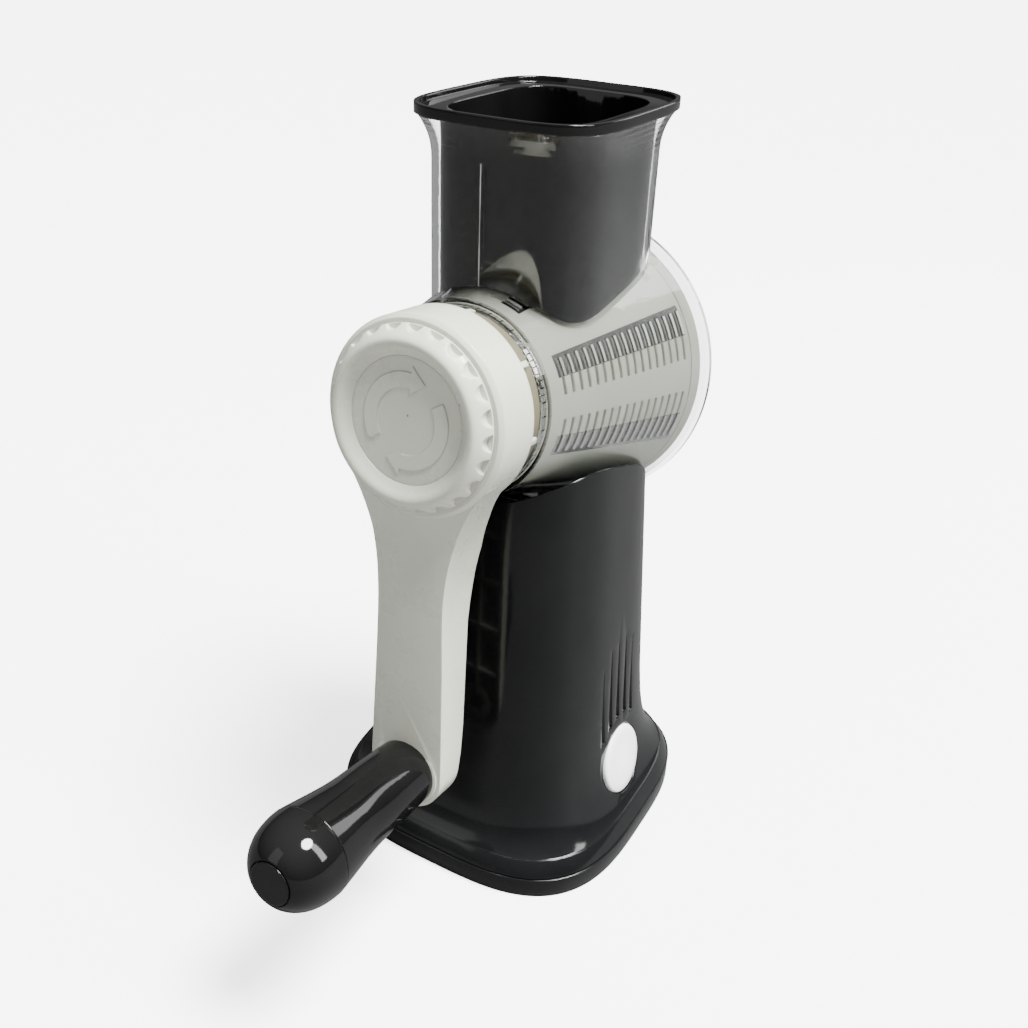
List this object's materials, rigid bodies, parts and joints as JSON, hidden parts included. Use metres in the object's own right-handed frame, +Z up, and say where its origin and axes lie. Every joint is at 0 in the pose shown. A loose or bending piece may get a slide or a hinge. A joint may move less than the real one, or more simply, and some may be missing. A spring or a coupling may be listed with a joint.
{
  "type": "rotary cheese grater",
  "caption": "Hand-cranked rotary grater: a conical drum in a clear hopper housing with a pusher, on a flared body with a suction foot and a side locking dial.",
  "frame": {"origin": "middle of the underside of the foot, on the face that rests on the table", "axes": "+Z up, -Y towards the crank and its grip, +Y towards the outlet, +X the side with the suction dial"},
  "size_m": [0.134, 0.2296, 0.3],
  "materials": {
    "black_body": "polished black ABS",
    "black_gloss": "high-gloss black plastic",
    "clear_plastic": "clear polycarbonate",
    "drum_white": "satin warm white food-grade plastic",
    "crank_white": "satin warm white ABS",
    "dial_white": "gloss white ABS",
    "blade_steel": "polished stainless steel",
    "steel": "plated steel",
    "brass": "machined brass",
    "nylon": "natural nylon",
    "rubber": "matt black silicone rubber"
  },
  "bodies": {
    "base": {"body_housing": "black_body", "foot_ring": "black_body", "foot_screws": "steel", "bottom_plate": "black_body", "suction_cup": "rubber", "clear_housing": "clear_plastic", "front_bush": "clear_plastic"},
    "pusher": {"pusher": "black_gloss"},
    "rotor": {"drum_cone": "drum_white", "drum_rear_ring": "drum_white", "drum_blades": "blade_steel", "thread_insert": "brass", "crank_arm": "crank_white", "grip_spindle": "steel", "spindle_screw": "steel"},
    "lock_knob": {"lock_knob": "crank_white", "knob_cover": "crank_white", "lock_bolt": "steel"},
    "grip": {"grip_sleeve": "black_gloss", "grip_bulb": "black_gloss", "grip_end_disc": "black_gloss", "grip_bush": "nylon"},
    "suction_dial": {"suction_dial": "dial_white", "dial_shaft": "steel", "cam_disc": "steel", "shaft_clip": "steel"},
    "suction_stem": {"suction_stem": "steel", "stem_yoke": "steel"}
  },
  "joints": [
    {"name": "crank_spin", "type": "hinge", "parent": "base", "child": "rotor", "pos_m": [0, 0, 0.2001], "axis": [0, 0.9903, -0.1392], "continuous": true},
    {"name": "lock_knob_turn", "type": "hinge", "parent": "rotor", "child": "lock_knob", "pos_m": [0, 0, 0.2001], "axis": [0, -0.9903, 0.1392], "range_deg": [0, 90]},
    {"name": "grip_spin", "type": "hinge", "parent": "rotor", "child": "grip", "pos_m": [0, -0.02022, 0.05621], "axis": [0, 0.9903, -0.1392], "continuous": true},
    {"name": "pusher_slide", "type": "slide", "parent": "base", "child": "pusher", "axis": [0, 0, 1], "range_m": [0, 0.11]},
    {"name": "suction_dial_turn", "type": "hinge", "parent": "base", "child": "suction_dial", "pos_m": [0.0544, -0.0035, 0.034], "axis": [-0.9732, 0, -0.23], "range_deg": [0, 90]},
    {"name": "suction_stem_lift", "type": "slide", "parent": "base", "child": "suction_stem", "axis": [0, 0, 1], "range_m": [0, 0.0035]}
  ],
  "couplings": [
    {"joint": "suction_dial_turn", "follows": "suction_stem_lift", "rad_per_m": 448.79}
  ]
}
